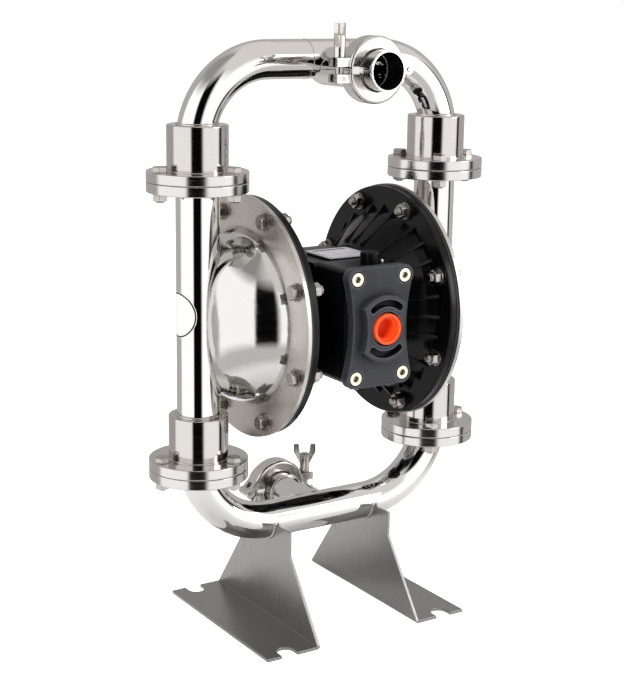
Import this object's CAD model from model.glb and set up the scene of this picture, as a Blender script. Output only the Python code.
# %% [markdown]
# A sanitary air operated double diaphragm pump, dressed for a studio picture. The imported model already
# holds every tube, flange, chamber and bolt at its true size, so this lesson adds what a CAD model
# lacks: light, metal, cast and moulded surfaces, weld beads, threads and a few small fittings.

# %% The frame and its measures
import math

import bmesh
import bpy
from mathutils import Matrix, Vector


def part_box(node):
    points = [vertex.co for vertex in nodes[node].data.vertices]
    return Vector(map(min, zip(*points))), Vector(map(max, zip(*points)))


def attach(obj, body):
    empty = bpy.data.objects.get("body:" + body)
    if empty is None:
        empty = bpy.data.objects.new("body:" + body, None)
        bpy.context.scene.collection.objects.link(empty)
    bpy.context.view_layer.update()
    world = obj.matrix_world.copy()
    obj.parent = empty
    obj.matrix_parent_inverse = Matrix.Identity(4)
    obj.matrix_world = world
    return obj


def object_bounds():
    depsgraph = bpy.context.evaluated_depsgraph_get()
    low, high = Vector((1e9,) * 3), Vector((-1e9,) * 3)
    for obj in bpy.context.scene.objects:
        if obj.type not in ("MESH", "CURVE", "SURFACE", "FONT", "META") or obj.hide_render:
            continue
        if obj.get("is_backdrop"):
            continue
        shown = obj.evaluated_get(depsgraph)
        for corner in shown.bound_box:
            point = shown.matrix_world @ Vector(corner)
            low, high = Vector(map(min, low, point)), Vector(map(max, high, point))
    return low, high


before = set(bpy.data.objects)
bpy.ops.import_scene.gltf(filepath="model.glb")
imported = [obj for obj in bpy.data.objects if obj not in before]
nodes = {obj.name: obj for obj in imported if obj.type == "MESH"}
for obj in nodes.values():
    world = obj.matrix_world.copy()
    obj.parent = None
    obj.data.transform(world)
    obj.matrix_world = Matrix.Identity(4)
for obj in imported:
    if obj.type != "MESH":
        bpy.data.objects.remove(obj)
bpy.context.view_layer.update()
HOUSING = "pump_housing"
MM = 0.001

# %% [markdown]
# The camera stands to the left of the pump, a little above it, and is tipped down. Its place is written
# as a position and three angles. The image is taller than wide, 624 by 673, and Blender measures the
# lens against the longer side of the image.

# %% Camera
CAMERA_PLACE = Vector((-0.81583, -1.25283, 0.63586))
YAW, PITCH, ROLL = (math.radians(angle) for angle in (-32.779, 13.029, 0.785))
IMAGE_HEIGHT = 673
FOCAL_PIXELS = 1505.37
SENSOR_MM = 36.0

back = Vector((math.sin(YAW) * math.cos(PITCH), -math.cos(YAW) * math.cos(PITCH), math.sin(PITCH)))
level = Vector((math.cos(YAW), math.sin(YAW), 0))
upright = back.cross(level)
right = math.cos(ROLL) * level + math.sin(ROLL) * upright
up = -math.sin(ROLL) * level + math.cos(ROLL) * upright

camera_data = bpy.data.cameras.new("studio_camera")
camera_data.sensor_width = SENSOR_MM
camera_data.lens = FOCAL_PIXELS * SENSOR_MM / IMAGE_HEIGHT
camera = bpy.data.objects.new("studio_camera", camera_data)
camera.matrix_world = Matrix.Translation(CAMERA_PLACE) @ Matrix((right, up, back)).transposed().to_4x4()
bpy.context.scene.collection.objects.link(camera)
bpy.context.scene.camera = camera
print("lens", round(camera_data.lens, 2), "mm")

# %% [markdown]
# Materials are node trees. One small function adds a node, sets its properties and fills or links its
# inputs, so that each finish below reads as a list of what it is made of. Colours are written as sRGB
# hex values, as a paint chart gives them, and turned to linear light here.


# %% Node and colour helpers
def linear(hex_colour):
    """An sRGB colour such as #D8DADB as linear red, green, blue and alpha."""
    values = [int(hex_colour[i:i + 2], 16) / 255 for i in (1, 3, 5)]
    return tuple(v / 12.92 if v <= 0.04045 else ((v + 0.055) / 1.055) ** 2.4 for v in values) + (1.0,)


def add_node(tree, kind, inputs=None, **settings):
    """Add a node, set its properties, and fill or link its inputs by name or number."""
    made = tree.nodes.new(kind)
    for name, value in settings.items():
        setattr(made, name, value)
    for key, value in (inputs or {}).items():
        if isinstance(value, bpy.types.NodeSocket):
            tree.links.new(value, made.inputs[key])
        else:
            made.inputs[key].default_value = value
    return made


def start_material(name):
    """An empty material with its output, and its Object coordinates."""
    material = bpy.data.materials.new(name)
    material.use_nodes = True
    tree = material.node_tree
    tree.nodes.clear()
    output = add_node(tree, "ShaderNodeOutputMaterial")
    place = add_node(tree, "ShaderNodeTexCoord").outputs["Object"]
    return material, tree, output, place


def ramp(tree, factor, stops, interpolation="LINEAR"):
    """A colour ramp from (position, grey or hex colour) stops."""
    made = add_node(tree, "ShaderNodeValToRGB", {"Fac": factor})
    made.color_ramp.interpolation = interpolation
    elements = made.color_ramp.elements
    while len(elements) < len(stops):
        elements.new(0.5)
    for element, (position, colour) in zip(elements, stops):
        element.position = position
        element.color = linear(colour) if isinstance(colour, str) else (colour, colour, colour, 1)
    return made.outputs["Color"]

# %% [markdown]
# Where two surfaces meet, little light gets in and dust collects. An ambient occlusion node measures how
# closed in a spot is. Turned inside out, the same node finds the outer edges, which handling rubs light.


# %% Crevices and rubbed edges
WEAR_SAMPLES = 6
EDGE_WEAR_MM = 1.4
PLASTIC_CREVICE_DEPTH = 0.9


def crevices(tree, colour, reach_mm, depth):
    """The colour, darkened by up to depth where other surfaces stand within reach."""
    opening = add_node(tree, "ShaderNodeAmbientOcclusion", {"Distance": reach_mm * MM}, samples=WEAR_SAMPLES)
    shade = add_node(tree, "ShaderNodeMapRange", {
        "Value": opening.outputs["AO"], "From Min": 0.25, "From Max": 0.85, "To Min": depth, "To Max": 0.0})
    return add_node(tree, "ShaderNodeMix", {0: shade.outputs[0], 6: colour, 7: linear("#000000")},
                    data_type="RGBA").outputs[2]


def rubbed_edges(tree, colour, reach_mm, edge_colour):
    """The colour, turned to another one along the outer edges."""
    closed = add_node(tree, "ShaderNodeAmbientOcclusion", {"Distance": reach_mm * MM},
                      samples=WEAR_SAMPLES, inside=True)
    edge_share = add_node(tree, "ShaderNodeMapRange", {
        "Value": closed.outputs["AO"], "From Min": 0.55, "From Max": 0.95, "To Min": 1.0, "To Max": 0.0})
    return add_node(tree, "ShaderNodeMix", {0: edge_share.outputs[0], 6: colour, 7: linear(edge_colour)},
                    data_type="RGBA").outputs[2]


print("wear samples", WEAR_SAMPLES)

# %% [markdown]
# Electropolished stainless steel is a near mirror. What makes it read as metal is what it reflects, so
# its own surface needs little: a slow waviness left by hand polishing, about 30 mm from crest to crest,
# and fine wipe marks that spread the reflection a little here and there. Turned, pickled, cast and
# brushed steel differ from it in roughness, and in the size and direction of their marks.


# %% Metal finishes
def metal(name, colour, rough_low, rough_high, grain, wave_mm=30.0, wave_height=0.0,
          edge_mm=0.0, grain_bump=0.0, crevice_mm=0.0, crevice_depth=0.7):
    """A bare metal: grain is the size of its marks in mm along X, Y and Z."""
    material, tree, output, place = start_material(name)
    grain_scale = [1 / (size * MM) for size in grain]
    stretched = add_node(tree, "ShaderNodeMapping", {"Vector": place, "Scale": grain_scale}).outputs[0]
    noise = add_node(tree, "ShaderNodeTexNoise", {"Vector": stretched, "Scale": 1.0, "Detail": 4.0})
    marks = noise.outputs["Fac"]
    roughness = add_node(tree, "ShaderNodeMapRange", {
        "Value": marks, "From Min": 0.3, "From Max": 0.7, "To Min": rough_low, "To Max": rough_high})
    rounded = None
    if edge_mm:
        rounded = add_node(tree, "ShaderNodeBevel", {"Radius": edge_mm * MM}, samples=4).outputs[0]
    waves = add_node(tree, "ShaderNodeTexNoise", {"Vector": place, "Scale": 1 / (wave_mm * MM), "Detail": 1.0})
    heights = add_node(tree, "ShaderNodeMath", {0: waves.outputs["Fac"], 1: wave_height}, operation="MULTIPLY")
    relief = add_node(tree, "ShaderNodeMath", {0: marks, 1: grain_bump, 2: heights.outputs[0]},
                      operation="MULTIPLY_ADD")
    bump_inputs = {"Height": relief.outputs[0], "Distance": MM, "Strength": 1.0}
    if rounded:
        bump_inputs["Normal"] = rounded
    bump = add_node(tree, "ShaderNodeBump", bump_inputs)
    base = crevices(tree, linear(colour), crevice_mm, crevice_depth) if crevice_mm else linear(colour)
    shader = add_node(tree, "ShaderNodeBsdfPrincipled", {
        "Base Color": base, "Metallic": 1.0,
        "Roughness": roughness.outputs[0], "Normal": bump.outputs[0]})
    tree.links.new(shader.outputs[0], output.inputs["Surface"])
    return material


polished_steel = metal("electropolished_stainless", "#DFDDDB", 0.03, 0.07, (9, 9, 40), 34.0, 0.022)
can_steel = metal("fine_turned_stainless_tube", "#C6C2BF", 0.07, 0.13, (40, 40, 1.5), 40.0, 0.02,
                  edge_mm=0.5, grain_bump=0.002)
pressed_steel = metal("pressed_polished_stainless", "#D5D4D2", 0.05, 0.12, (14, 5, 5), 26.0, 0.07, crevice_mm=5)
satin_steel = metal("pickled_stainless_sheet", "#D2CDC9", 0.25, 0.31, (40, 24, 24), 40.0, 0.02,
                    edge_mm=0.6, crevice_mm=5)
drawn_steel = metal("drawn_stainless_bore", "#5E5B59", 0.30, 0.45, (6, 6, 6), 10.0, 0.05)
turned_steel = metal("turned_stainless", "#CECBC9", 0.11, 0.19, (60, 60, 0.5),
                     edge_mm=0.6, grain_bump=0.004, crevice_mm=5)
cast_steel = metal("investment_cast_stainless", "#D6D2CD", 0.14, 0.30, (3, 3, 3), 8.0, 0.05,
                   edge_mm=0.5, crevice_mm=4)
bolt_steel = metal("cold_headed_stainless", "#B3AEA9", 0.18, 0.32, (2, 2, 2), 5.0, 0.012,
                   edge_mm=0.4, crevice_mm=3, crevice_depth=0.85)
screw_steel = metal("cream_passivated_screw", "#F2EAD6", 0.30, 0.42, (2, 2, 2), 5.0, 0.012,
                    edge_mm=0.4, crevice_mm=3, crevice_depth=0.95)
weld_steel = metal("welded_stainless", "#CFCAC4", 0.12, 0.28, (1.2, 1.2, 1.2), 3.0, 0.10)
foot_steel = metal("brushed_stainless_sheet", "#A19F9D", 0.26, 0.40, (26, 0.9, 26), 60.0, 0.14,
                   edge_mm=1.2, grain_bump=0.010)
print("metal finishes made")

# %% [markdown]
# The plastics and coatings are dull by nature. Powder coat on cast aluminium is black with a faint
# orange peel, about 1.5 mm across. Moulded polypropylene has a fine spark-eroded grain near 0.5 mm.


# %% Plastics, coating, rubber and film
CLOUD_MM = 45
ROUGHNESS_SWING = 0.15


def coating(name, colour, rough, grain_mm, grain_height, tint,
            edge_mm=0.0, specular=0.5, crevice_mm=0.0, rubbed=None):
    """A painted, moulded or rubber surface with a bumpy grain and a slight unevenness of colour."""
    material, tree, output, place = start_material(name)
    grain = add_node(tree, "ShaderNodeTexNoise", {"Vector": place, "Scale": 1 / (grain_mm * MM), "Detail": 2.0})
    clouds = add_node(tree, "ShaderNodeTexNoise", {"Vector": place, "Scale": 1 / (CLOUD_MM * MM), "Detail": 5.0})
    tones = ramp(tree, clouds.outputs["Fac"], [(0.35, colour), (0.65, tint)])
    base = rubbed_edges(tree, tones, EDGE_WEAR_MM, rubbed) if rubbed else tones
    base = crevices(tree, base, crevice_mm, PLASTIC_CREVICE_DEPTH) if crevice_mm else base
    roughness = add_node(tree, "ShaderNodeMapRange", {
        "Value": clouds.outputs["Fac"], "From Min": 0.3, "From Max": 0.7,
        "To Min": rough * (1 - ROUGHNESS_SWING), "To Max": rough * (1 + ROUGHNESS_SWING)})
    bump_inputs = {"Height": grain.outputs["Fac"], "Distance": MM, "Strength": grain_height}
    if edge_mm:
        bump_inputs["Normal"] = add_node(tree, "ShaderNodeBevel", {"Radius": edge_mm * MM}, samples=4).outputs[0]
    bump = add_node(tree, "ShaderNodeBump", bump_inputs)
    shader = add_node(tree, "ShaderNodeBsdfPrincipled", {
        "Base Color": base, "Roughness": roughness.outputs[0], "Normal": bump.outputs[0],
        "Specular IOR Level": specular})
    tree.links.new(shader.outputs[0], output.inputs["Surface"])
    return material


powder_coat = coating("black_powder_coat", "#050505", 0.20, 1.6, 0.05, "#080809", edge_mm=1.2, specular=0.22)
body_plastic = coating("black_moulded_polypropylene", "#060607", 0.34, 0.7, 0.06, "#0A0B0C",
                       edge_mm=0.8, specular=0.2)
cover_plastic = coating("charcoal_moulded_polypropylene", "#303136", 0.42, 0.8, 0.9, "#3C3D44",
                        edge_mm=0.9, specular=0.4, crevice_mm=16, rubbed="#6C6E78")
orange_plastic = coating("orange_polyethylene", "#F4511C", 0.38, 0.8, 0.02, "#FF5E22", edge_mm=0.4)
rubber = coating("black_nitrile_rubber", "#131313", 0.55, 0.8, 0.06, "#1C1C1C")
seal = coating("white_ptfe", "#E9E8E2", 0.4, 1.0, 0.02, "#F1F0EC")
anodised = coating("silver_printed_foil", "#C4C0C6", 0.34, 0.5, 0.02, "#CFCBD1")
vinyl = coating("white_vinyl_film", "#F1EFEA", 0.35, 2.0, 0.01, "#F5F3F0")
ink = coating("black_printing_ink", "#141416", 0.4, 2.0, 0.01, "#18181B")
print("dull finishes made")

# %% [markdown]
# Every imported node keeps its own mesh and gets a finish. The names of the nodes say what each piece is,
# so a table from a word in the name to a finish covers them all, and the first word that fits wins.

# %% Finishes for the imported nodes
FINISHES = (
    ("manifold_tube", polished_steel), ("column_tube", polished_steel), ("_can_", can_steel),
    ("fluid_cover", pressed_steel), ("ferrules", polished_steel), ("port_stub", polished_steel),
    ("clamp_pins", bolt_steel), ("clamp", cast_steel), ("wing_nut", cast_steel), ("swing_bolt", bolt_steel),
    ("gaskets", seal), ("valve_seats", seal), ("_ball_", polished_steel), ("flange_bolts", bolt_steel),
    ("flange_nuts", bolt_steel), ("flange", turned_steel), ("chamber_bolts", bolt_steel),
    ("chamber_nuts", bolt_steel), ("cover_screws", screw_steel), ("air_chamber", powder_coat),
    ("diaphragm_rod", turned_steel), ("diaphragm", rubber), ("side_plates", turned_steel),
    ("pilot_rod", turned_steel), ("spool", turned_steel), ("centre_body", body_plastic),
    ("air_valve_body", body_plastic), ("air_valve_cover", cover_plastic), ("vent_cap", body_plastic),
    ("plug", orange_plastic), ("nameplate", anodised), ("silencer", rubber), ("foot", foot_steel),
)
for name, node in nodes.items():
    finish = next(material for word, material in FINISHES if word in name)
    node.data.materials.clear()
    node.data.materials.append(finish)
print("dressed", len(nodes), "nodes")

# %% [markdown]
# Two pieces carry two finishes. The fluid cover's dome is polished, but its bolting flange is left as
# it came from the pickling bath, and the process port's bore is plain drawn tube.


# %% Second finishes
def second_finish(name, finish, belongs):
    """Give a second finish to the faces whose middle and normal pass the test."""
    node = nodes[name]
    node.data.materials.append(finish)
    count = 0
    for face in node.data.polygons:
        if belongs(face.center, face.normal):
            face.material_index = 1
            count += 1
    print(name, "second finish on", count, "faces")


COVER_FACE_X = 0.0901
for name in nodes:
    if "fluid_cover" in name:
        second_finish(name, satin_steel, lambda spot, normal: abs(spot.x) < COVER_FACE_X)
    if "port_stub" in name:
        low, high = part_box(name)
        axis = (low + high) / 2
        second_finish(name, drawn_steel, lambda spot, normal: abs(normal.y) < 0.5 and
                      (spot.x - axis.x) * normal.x + (spot.z - axis.z) * normal.z < 0)

# %% [markdown]
# New pieces are small meshes made with bmesh. Each one is built near the origin, moved to its place in
# its mesh, and rides on the pump's housing. These helpers finish a mesh, and copy a small mesh to many
# places as one piece.


# %% Mesh helpers
def finish_piece(name, mesh_builder, material, body=HOUSING, smooth_angle=35.0):
    """Turn a bmesh into a smooth-shaded piece that rides on a body."""
    bmesh.ops.remove_doubles(mesh_builder, verts=mesh_builder.verts, dist=1e-6)
    bmesh.ops.recalc_face_normals(mesh_builder, faces=mesh_builder.faces)
    sharp = math.radians(smooth_angle)
    for face in mesh_builder.faces:
        face.smooth = True
    for edge in mesh_builder.edges:
        edge.smooth = len(edge.link_faces) == 2 and edge.calc_face_angle(0) < sharp
    mesh = bpy.data.meshes.new(name)
    mesh_builder.to_mesh(mesh)
    mesh_builder.free()
    mesh.materials.append(material)
    piece = bpy.data.objects.new(name, mesh)
    bpy.context.scene.collection.objects.link(piece)
    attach(piece, body)
    return piece


def place_from(origin, z_axis, x_hint=(0, 0, 1)):
    """Matrix that puts a mesh made round +Z at origin, with its Z along z_axis."""
    z = Vector(z_axis).normalized()
    x = Vector(x_hint) - Vector(x_hint).dot(z) * z
    if x.length < 1e-6:
        x = Vector((1, 0, 0)) - Vector((1, 0, 0)).dot(z) * z
    x.normalize()
    return Matrix.Translation(Vector(origin)) @ Matrix((x, z.cross(x), z)).transposed().to_4x4()


def copies(pattern, places):
    """One bmesh that holds the pattern at each of the places."""
    mesh = bpy.data.meshes.new("pattern")
    pattern.to_mesh(mesh)
    pattern.free()
    whole = bmesh.new()
    for matrix in places:
        before = len(whole.verts)
        whole.from_mesh(mesh)
        whole.verts.ensure_lookup_table()
        bmesh.ops.transform(whole, matrix=matrix, verts=whole.verts[before:])
    bpy.data.meshes.remove(mesh)
    return whole


# %% [markdown]
# A weld bead is a low rounded ridge whose surface shows the overlapping ripples of the weld pool, about
# 1.5 mm apart. A small half-sunk circle is spun round the joint, and every ring of the spin is pushed
# out a little by a saw-toothed wave, so that the ripples are real geometry.


# %% Weld beads
RIPPLE_MM = 1.7


def bead_ring(radius_mm, width_mm, ripple_height=0.18):
    """A rippled ring of weld round +Z at the origin, in metres."""
    ring = bmesh.new()
    profile = bmesh.ops.create_circle(ring, segments=8, radius=width_mm / 2 * MM)["verts"]
    bmesh.ops.rotate(ring, verts=profile, cent=(0, 0, 0), matrix=Matrix.Rotation(math.pi / 2, 3, "X"))
    bmesh.ops.translate(ring, verts=profile, vec=(radius_mm * MM, 0, 0))
    ripples = max(12, round(math.tau * radius_mm / RIPPLE_MM))
    bmesh.ops.spin(ring, geom=ring.edges[:], cent=(0, 0, 0), axis=(0, 0, 1), angle=math.tau,
                   steps=ripples * 3, use_merge=True)
    for vert in ring.verts:
        angle = math.atan2(vert.co.y, vert.co.x)
        middle = Vector((math.cos(angle), math.sin(angle), 0)) * radius_mm * MM
        phase = (angle / math.tau * ripples) % 1
        uneven = 0.10 * math.sin(3 * angle + radius_mm) + 0.06 * math.sin(7 * angle)
        vert.co = middle + (vert.co - middle) * (1 + ripple_height * (phase - 0.5) + uneven)
    return ring


COLUMN_X = 0.140
PUMP_AXIS = 0.321
COLUMN_R = 0.0212
TUBE_R_MM = 19.05
SUCTION_Z, ARCH_Z, DISCHARGE_PORT_Z = 0.105, 0.569, 0.5625
FLANGE_JOINTS = (0.175, 0.457)
columns = (-COLUMN_X, COLUMN_X)
can_tops = [(x, 0, z) for x in columns for z in (0.2285, 0.5105)]
can_feet = [(x, 0, z) for x in columns for z in (0.185, 0.467)]
tube_heads = [(x, 0, 0.447) for x in columns]
upward, rearward, sideways = (0, 0, 1), (0, 1, 0), (1, 0, 0)
weld_rings = []
for place in can_tops:
    tube_mm = COLUMN_R / MM if place[2] < PUMP_AXIS else TUBE_R_MM
    weld_rings.append((place, upward, tube_mm + 0.2, 2.8))
weld_rings += [(place, upward, 29.5, 1.8) for place in can_feet]
weld_rings += [(place, upward, 21.3, 2.2) for place in tube_heads]
weld_rings += [((x, 0, 0.165), upward, 19.2, 2.4) for x in columns]
weld_rings += [((0, -0.061, DISCHARGE_PORT_Z), rearward, 19.1, 2.2),
               ((0, 0.061, SUCTION_Z), rearward, 19.1, 2.2)]
weld_rings += [((x, 0, ARCH_Z), sideways, 18.5, 1.9) for x in (-0.023, 0.023)]
all_rings = bmesh.new()
for place, axis, radius_mm, width_mm in weld_rings:
    ring_mesh = copies(bead_ring(radius_mm, width_mm), [place_from(place, axis)])
    joined = bpy.data.meshes.new("ring")
    ring_mesh.to_mesh(joined)
    ring_mesh.free()
    all_rings.from_mesh(joined)
    bpy.data.meshes.remove(joined)
rings = finish_piece("weld_beads", all_rings, weld_steel, smooth_angle=60)
print("weld beads", len(weld_rings), "rings,", len(rings.data.polygons), "faces")

# %% [markdown]
# Where the pressed dome meets the column tube, and where the feet carry the lower tube, the welder goes
# by hand along a curve. These beads are rows of small flattened drops, each half over the last, like
# a roll of coins pushed over.


# %% Hand welds
def drop(width_mm, length_mm, height_mm):
    """One frozen drop of weld, lying on Z = 0 with its length along X."""
    lump = bmesh.new()
    bmesh.ops.create_icosphere(lump, subdivisions=2, radius=0.5 * MM)
    bmesh.ops.scale(lump, vec=(length_mm, width_mm, height_mm * 2), verts=lump.verts)
    return lump


def along(points, step_mm=1.5):
    """Places every step_mm along a line of (point, outward normal) pairs, X along the line."""
    places = []
    for (a, normal), (b, _) in zip(points, points[1:]):
        a, b = Vector(a), Vector(b)
        count = max(1, round((b - a).length / (step_mm * MM)))
        for index in range(count):
            places.append(place_from(a.lerp(b, index / count), normal, b - a))
    return places


CROWN_X, CROWN_R = -0.057, 0.200
KNUCKLE_X, KNUCKLE_AT, KNUCKLE_R = 0.07833, 0.027, 0.062
CROWN_ENDS = 0.1391


def dome_reach(x):
    """Radius of the dome's outside at a distance x from the middle of the pump."""
    if x > CROWN_ENDS:
        return math.sqrt(max(0.0, CROWN_R ** 2 - (x - CROWN_X) ** 2))
    return KNUCKLE_AT + math.sqrt(KNUCKLE_R ** 2 - (x - KNUCKLE_X) ** 2)


def dome_seam(side, front):
    """Points and normals where the dome's outside meets one face of the column tube."""
    upper = []
    for step in range(61):
        angle = math.pi * step / 60
        x = COLUMN_X - COLUMN_R * math.cos(angle)
        y = COLUMN_R * math.sin(angle)
        square = dome_reach(x) ** 2 - y ** 2
        if square <= 0:
            break
        normal = Vector((-math.cos(angle) * side, y / COLUMN_R * front, 0))
        upper.append((Vector((x * side, y * front, math.sqrt(square))), normal))
    lower = [(Vector((p.x, p.y, -p.z)), n) for p, n in reversed(upper)]
    lift = Vector((0, 0, PUMP_AXIS))
    return [(p + lift, n) for p, n in upper + lower]


seam_places = []
for side in (-1, 1):
    for front in (-1, 1):
        seam_places += along(dome_seam(side, front))
finish_piece("dome_seam_welds", copies(drop(2.6, 2.6, 0.7), seam_places), weld_steel,
             smooth_angle=80)

SADDLE_R = 0.01935
saddle_places = []
for x in (-0.0626, -0.0584, 0.0584, 0.0626):
    arc = []
    for step in range(25):
        angle = math.pi + math.pi * step / 24
        outward = Vector((0, math.cos(angle), math.sin(angle)))
        arc.append((Vector((x, 0, SUCTION_Z)) + outward * SADDLE_R, outward))
    saddle_places += along(arc, 2.0)
finish_piece("foot_saddle_welds", copies(drop(3.2, 3.4, 1.1), saddle_places), weld_steel,
             smooth_angle=80)
print("hand welds", len(seam_places), "and", len(saddle_places), "drops")

# %% [markdown]
# A bolt end shows its thread where it stands proud of its nut. The crests of an M8 thread are 1.25 mm
# apart. A saw-toothed line spun round the bolt's axis gives them, and one small thread is copied to
# every bolt end.

# %% Thread ends
PITCH_MM, THREAD_R_MM = 1.25, 4.02
FLANGE_BOLT_CIRCLE, CHAMBER_BOLT_CIRCLE, CHAMBER_END_X = 0.040, 0.1065, 0.0661
FLANGE_BOLTS, CHAMBER_BOLTS = 3, 8


def thread(turns):
    """The crests of a short M8 thread round +Z, from Z = 0."""
    saw = bmesh.new()
    points = []
    for turn_index in range(turns):
        base = turn_index * PITCH_MM
        points += [(THREAD_R_MM, base + 0.05), (THREAD_R_MM + 0.32, base + 0.5 * PITCH_MM),
                   (THREAD_R_MM, base + PITCH_MM)]
    verts = [saw.verts.new((r * MM, 0, z * MM)) for r, z in points]
    for a, b in zip(verts, verts[1:]):
        saw.edges.new((a, b))
    bmesh.ops.spin(saw, geom=saw.edges[:], cent=(0, 0, 0), axis=(0, 0, 1), angle=math.tau,
                   steps=20, use_merge=True)
    return saw


flange_ends = []
for x in columns:
    for joint_z in FLANGE_JOINTS:
        for index in range(FLANGE_BOLTS):
            angle = (0 if x > 0 else math.pi) + math.tau * index / FLANGE_BOLTS
            spot = (x + FLANGE_BOLT_CIRCLE * math.cos(angle), FLANGE_BOLT_CIRCLE * math.sin(angle),
                    joint_z - 0.010 - 0.0068)
            flange_ends.append(place_from(spot, (0, 0, -1)))
chamber_ends = []
for side in (-1, 1):
    for index in range(CHAMBER_BOLTS):
        angle = math.radians(22.5 + 45 * index)
        spot = (side * CHAMBER_END_X, -CHAMBER_BOLT_CIRCLE * math.sin(angle),
                PUMP_AXIS + CHAMBER_BOLT_CIRCLE * math.cos(angle))
        chamber_ends.append(place_from(spot, (-side, 0, 0)))
finish_piece("flange_bolt_threads", copies(thread(1), flange_ends), bolt_steel)
finish_piece("chamber_bolt_threads", copies(thread(3), chamber_ends), bolt_steel)
print("threads on", len(flange_ends) + len(chamber_ends), "bolt ends")

# %% [markdown]
# A round vinyl label sits on the left column. It is blank but for a printed black ring. The disc is
# made flat, as rings of vertices spun from one line, and each vertex is then laid round the tube.

# %% Round label on the left column
LABEL_R_MM, LABEL_LIFT_MM, LABEL_Z = 22.5, 0.12, 0.3295
RING_INNER_MM, RING_OUTER_MM = 20.4, 22.0
LABEL_AZIMUTH = math.radians(178)
line = bmesh.new()
radii_mm = (0.5, 4, 8, 12, 16, 19.4, RING_INNER_MM, RING_OUTER_MM, LABEL_R_MM)
verts = [line.verts.new((r * MM, 0, 0)) for r in radii_mm]
for a, b in zip(verts, verts[1:]):
    line.edges.new((a, b))
bmesh.ops.spin(line, geom=line.edges[:], cent=(0, 0, 0), axis=(0, 0, 1), angle=math.tau,
               steps=72, use_merge=True)
bmesh.ops.holes_fill(line, edges=[edge for edge in line.edges if len(edge.link_faces) == 1 and
                                  edge.calc_length() < 0.2 * MM], sides=0)
tube_r = COLUMN_R + LABEL_LIFT_MM * MM
for face in line.faces:
    face.material_index = int(RING_INNER_MM * MM < face.calc_center_median().length < RING_OUTER_MM * MM)
for vert in line.verts:
    turned = LABEL_AZIMUTH + vert.co.x / tube_r
    vert.co = Vector((-COLUMN_X + tube_r * math.cos(turned), tube_r * math.sin(turned), LABEL_Z + vert.co.y))
label = finish_piece("column_label", line, vinyl)
label.data.materials.append(ink)
print("label", round(2 * LABEL_R_MM), "mm across")

# %% [markdown]
# The nameplate is thin foil with a printed form: a border and a few rules, with nothing filled in. The
# printing is raised by a hair, as screen ink is.


# %% Printed form on the nameplate
def bar(mesh_builder, x0, y0, x1, y1, z):
    """A thin printed bar, given by two corners in millimetres on the nameplate."""
    made = bmesh.ops.create_cube(mesh_builder, size=1.0)["verts"]
    bmesh.ops.scale(mesh_builder, vec=((x1 - x0) * MM, (y1 - y0) * MM, 0.08 * MM), verts=made)
    bmesh.ops.translate(mesh_builder, vec=((x0 + x1) / 2 * MM, (y0 + y1) / 2 * MM, z), verts=made)


plate_low, plate_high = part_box("nameplate")
middle = (plate_low + plate_high) / 2 * 1000
half_w, half_d = 22.5, 21.5
form = bmesh.new()
for y in (half_d, 12.0, 4.0, -4.0, -12.0, -half_d):
    bar(form, middle.x - half_w, middle.y + y - 0.25, middle.x + half_w, middle.y + y + 0.25, plate_high.z)
for x in (-half_w, half_w):
    bar(form, middle.x + x - 0.25, middle.y - half_d, middle.x + x + 0.25, middle.y + half_d, plate_high.z)
bar(form, middle.x - 6.25, middle.y - 12.0, middle.x - 5.75, middle.y + 12.0, plate_high.z)
bar(form, middle.x - 19.0, middle.y + 14.5, middle.x + 19.0, middle.y + 19.0, plate_high.z)
finish_piece("nameplate_form", form, ink)

rivet = bmesh.new()
bmesh.ops.create_uvsphere(rivet, u_segments=16, v_segments=8, radius=1.1 * MM)
bmesh.ops.scale(rivet, vec=(1, 1, 0.5), verts=rivet.verts)
corners = [Vector((middle.x + x, middle.y + y, 0)) * MM + Vector((0, 0, plate_high.z))
           for x in (-23.6, 23.6) for y in (-22.7, 22.7)]
finish_piece("nameplate_rivets", copies(rivet, [place_from(c, upward) for c in corners]), bolt_steel)
print("nameplate printed")

# %% [markdown]
# A small pan-head screw beside the vent cap holds the valve's top cover. The exhaust silencer at the
# back is a moulded can with rings round it, which a spun profile gives in one piece.

# %% Pan-head screw and silencer rings
pan = bmesh.new()
bmesh.ops.create_cone(pan, cap_ends=True, segments=24, radius1=3.0 * MM, radius2=2.6 * MM, depth=2.6 * MM)
top_edges = [edge for edge in pan.edges if all(vert.co.z > 0 for vert in edge.verts)]
bmesh.ops.bevel(pan, geom=top_edges, offset=0.8 * MM, segments=3, profile=0.5, affect="EDGES", material=-1)
socket = bmesh.ops.create_cone(pan, cap_ends=True, segments=6, radius1=1.3 * MM, radius2=1.3 * MM,
                               depth=0.4 * MM)
bmesh.ops.translate(pan, verts=socket["verts"], vec=(0, 0, 1.15 * MM))
valve_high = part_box("air_valve_body")[1]
spot = Vector((0.024, -0.071, valve_high.z + 1.2 * MM))
finish_piece("vent_screw", copies(pan, [place_from(spot, upward)]), bolt_steel)

silencer_low, silencer_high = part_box("exhaust_silencer")
silencer_r = (silencer_high.x - silencer_low.x) / 2
RIB_COUNT, RIB_FIRST, RIB_STEP = 7, 0.060, 0.008
ring_mesh = bmesh.new()
for index in range(RIB_COUNT):
    y = RIB_FIRST + index * RIB_STEP
    corners = [ring_mesh.verts.new((silencer_r - 0.3 * MM + out * MM, y + along_mm * MM, 0))
               for out, along_mm in ((0, 0), (1.1, 0.6), (1.1, 2.6), (0, 3.2))]
    for a, b in zip(corners, corners[1:]):
        ring_mesh.edges.new((a, b))
bmesh.ops.spin(ring_mesh, geom=ring_mesh.edges[:], cent=(0, 0, 0), axis=(0, 1, 0), angle=math.tau, steps=64,
               use_merge=True)
bmesh.ops.translate(ring_mesh, verts=ring_mesh.verts, vec=(0, 0, PUMP_AXIS))
finish_piece("silencer_rings", ring_mesh, rubber)
print("silencer radius", round(silencer_r * 1000, 1), "mm")

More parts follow.
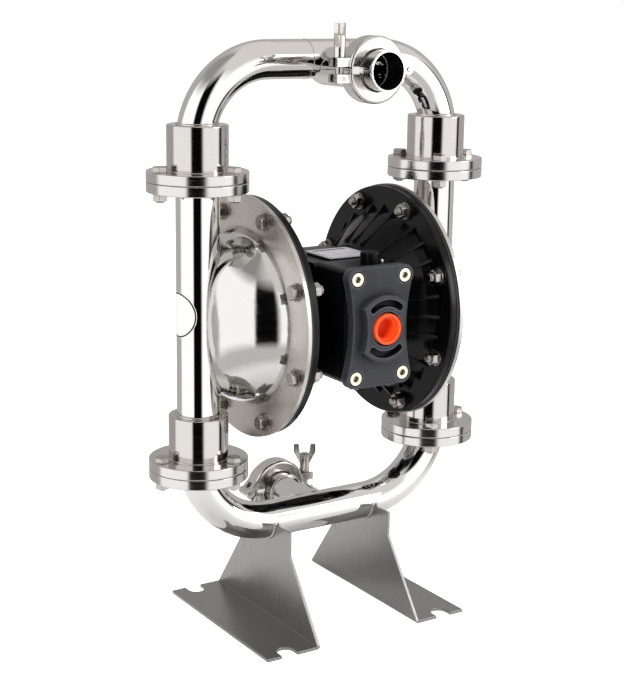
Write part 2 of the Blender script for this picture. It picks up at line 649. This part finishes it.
# %% [markdown]
# The studio is a white floor and a white surround. Polished steel shows the room, so the world gives
# mirror-like rays a room of their own: broad white walls, one dark gap where the photographer stands
# and a narrow dark gap to the right. All other rays see plain white light.

# %% The room
CEILING_FADE = 0.20
GROUND_STARTS, GROUND_ENDS = -0.38, -0.52
MIRROR_ROOM_STRENGTH, PLAIN_LIGHT_STRENGTH = 1.38, 0.45
world = bpy.data.worlds.new("studio_world")
bpy.context.scene.world = world
world.use_nodes = True
room = world.node_tree
room.nodes.clear()
world_output = add_node(room, "ShaderNodeOutputWorld")
toward = add_node(room, "ShaderNodeTexCoord").outputs["Generated"]
CAMERA_AZIMUTH = math.atan2(CAMERA_PLACE.y, CAMERA_PLACE.x)
faced = add_node(room, "ShaderNodeVectorRotate", {
    "Vector": toward, "Axis": (0, 0, 1), "Angle": -CAMERA_AZIMUTH})
split = add_node(room, "ShaderNodeSeparateXYZ", {0: faced.outputs[0]})
angle = add_node(room, "ShaderNodeMath", {0: split.outputs["Y"], 1: split.outputs["X"]}, operation="ARCTAN2")
turn = add_node(room, "ShaderNodeMath", {0: angle.outputs[0], 1: 1 / math.tau, 2: 0.5},
                operation="MULTIPLY_ADD")


def at(degrees):
    """Place on the ramp of a direction, in degrees to the right of the camera as the pump sees it."""
    return 0.5 + degrees / 360


walls = ramp(room, turn.outputs[0], [
    (at(-180), "#A3A1A0"), (at(-98), "#ABA8A7"), (at(-90), "#FFFFFF"), (at(-22), "#FFFFFF"),
    (at(-16), "#060606"), (at(19), "#060606"), (at(29), "#FFFFFF"), (at(86), "#FFFFFF"),
    (at(93), "#161616"), (at(100), "#161616"), (at(106), "#B4B1B0"), (at(180), "#A3A1A0")])
# The ceiling starts lower on the right than on the left, and it is darker over the left.
wall_top = ramp(room, turn.outputs[0], [
    (at(-180), 0.62), (at(20), 0.62), (at(45), 0.24), (at(110), 0.24), (at(150), 0.62), (at(180), 0.62)])
over_wall = add_node(room, "ShaderNodeMath", {0: split.outputs["Z"], 1: wall_top}, operation="SUBTRACT")
ceiling_share = add_node(room, "ShaderNodeMapRange", {
    "Value": over_wall.outputs[0], "From Max": CEILING_FADE})
ceiling = ramp(room, turn.outputs[0], [
    (at(-180), "#CFCCCA"), (at(-125), "#8E8C8A"), (at(-25), "#8E8C8A"), (at(15), "#CFCCCA"),
    (at(180), "#CFCCCA")])
upper = add_node(room, "ShaderNodeMix", {0: ceiling_share.outputs[0], 6: walls, 7: ceiling},
                 data_type="RGBA")
ground_share = add_node(room, "ShaderNodeMapRange", {
    "Value": split.outputs["Z"], "From Min": GROUND_STARTS, "From Max": GROUND_ENDS})
whole = add_node(room, "ShaderNodeMix", {0: ground_share.outputs[0], 6: upper.outputs[2], 7: linear("#BDBBB9")},
                 data_type="RGBA")
mirror_room = add_node(room, "ShaderNodeBackground", {
    "Color": whole.outputs[2], "Strength": MIRROR_ROOM_STRENGTH})
plain_light = add_node(room, "ShaderNodeBackground", {
    "Color": linear("#FFFFFF"), "Strength": PLAIN_LIGHT_STRENGTH})
plain_white = add_node(room, "ShaderNodeBackground", {"Color": linear("#FFFFFF"), "Strength": 1.0})
rays = add_node(room, "ShaderNodeLightPath").outputs
mirror_rays = add_node(room, "ShaderNodeMath", {0: rays["Is Glossy Ray"], 1: rays["Is Transmission Ray"]},
                       operation="MAXIMUM")
for_mirrors = add_node(room, "ShaderNodeMixShader", {
    0: mirror_rays.outputs[0], 1: plain_light.outputs[0], 2: mirror_room.outputs[0]})
for_camera = add_node(room, "ShaderNodeMixShader", {
    0: rays["Is Camera Ray"], 1: for_mirrors.outputs[0], 2: plain_white.outputs[0]})
room.links.new(for_camera.outputs[0], world_output.inputs["Surface"])
print("room made, camera azimuth", round(math.degrees(CAMERA_AZIMUTH), 1))

# %% [markdown]
# The floor is matt white paper. For the camera part of its brightness is its own, so that it meets the
# white surround without an edge. Mirrors do not see that light, and see through the floor further out.

# %% Floor
FLOOR_RADIUS = 14.0
FLOOR_OWN_LIGHT = 0.8
FOOTPRINT_ENDS, CLEAR_STARTS = 0.30, 0.42
floor_mesh = bpy.data.meshes.new("studio_floor")
disc = bmesh.new()
bmesh.ops.create_circle(disc, cap_ends=True, segments=96, radius=FLOOR_RADIUS)
disc.to_mesh(floor_mesh)
disc.free()
floor = bpy.data.objects.new("studio_floor", floor_mesh)
bpy.context.scene.collection.objects.link(floor)
floor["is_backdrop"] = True
paper, tree, output, place = start_material("white_paper")
matt = add_node(tree, "ShaderNodeBsdfDiffuse", {"Color": linear("#F2F2F2")})
own = add_node(tree, "ShaderNodeEmission", {"Color": linear("#FFFFFF"), "Strength": FLOOR_OWN_LIGHT})
lit = add_node(tree, "ShaderNodeAddShader", {0: matt.outputs[0], 1: own.outputs[0]})
rays = add_node(tree, "ShaderNodeLightPath").outputs
seen = add_node(tree, "ShaderNodeMath", {0: rays["Is Camera Ray"], 1: rays["Is Transmission Ray"]},
                operation="MAXIMUM")
paper_look = add_node(tree, "ShaderNodeMixShader", {0: seen.outputs[0], 1: matt.outputs[0], 2: lit.outputs[0]})
# Beyond the pump's own footprint the floor is clear to mirrors, which then show the room below it.
reach = add_node(tree, "ShaderNodeVectorMath", {0: place}, operation="LENGTH")
far = add_node(tree, "ShaderNodeMapRange", {
    "Value": reach.outputs["Value"], "From Min": FOOTPRINT_ENDS, "From Max": CLEAR_STARTS})
clear = add_node(tree, "ShaderNodeMath", {0: far.outputs[0], 1: rays["Is Glossy Ray"]}, operation="MULTIPLY")
glass = add_node(tree, "ShaderNodeBsdfTransparent")
shown = add_node(tree, "ShaderNodeMixShader", {
    0: clear.outputs[0], 1: paper_look.outputs[0], 2: glass.outputs[0]})
tree.links.new(shown.outputs[0], output.inputs["Surface"])
floor_mesh.materials.append(paper)
print("floor", FLOOR_RADIUS, "m")

# %% [markdown]
# Three soft lamps: a strong one high on the left, a weaker one on the right and one overhead. A square
# lamp leaves a hard white patch on mirror-like steel, so the left and overhead ones are hidden from
# mirrors, which see the room's walls instead.


# %% Lamps
def soft_lamp(name, place, size, power, in_mirrors=True):
    """A square area lamp that points at the middle of the pump, shown in mirror-like steel or not."""
    data = bpy.data.lights.new(name, "AREA")
    data.size = size
    data.energy = power
    lamp = bpy.data.objects.new(name, data)
    lamp.location = place
    lamp.rotation_euler = (Vector((0, 0, 0.3)) - Vector(place)).to_track_quat("-Z", "Y").to_euler()
    lamp.visible_glossy = in_mirrors
    bpy.context.scene.collection.objects.link(lamp)


soft_lamp("key_lamp", (-1.9, -1.3, 1.7), 0.9, 44, in_mirrors=False)
soft_lamp("fill_lamp", (1.7, -1.6, 1.0), 1.2, 16)
soft_lamp("top_lamp", (0.2, 0.4, 2.3), 1.4, 26, in_mirrors=False)
print("lamps set")

# %% [markdown]
# The last cell keeps colour plain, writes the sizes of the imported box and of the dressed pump, and
# lets the frame check that every piece rides on a body.

# %% Finish
bpy.context.scene.view_settings.view_transform = "Standard"
low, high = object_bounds()
print("size", [round((b - a) * 1000, 1) for a, b in zip(low, high)])
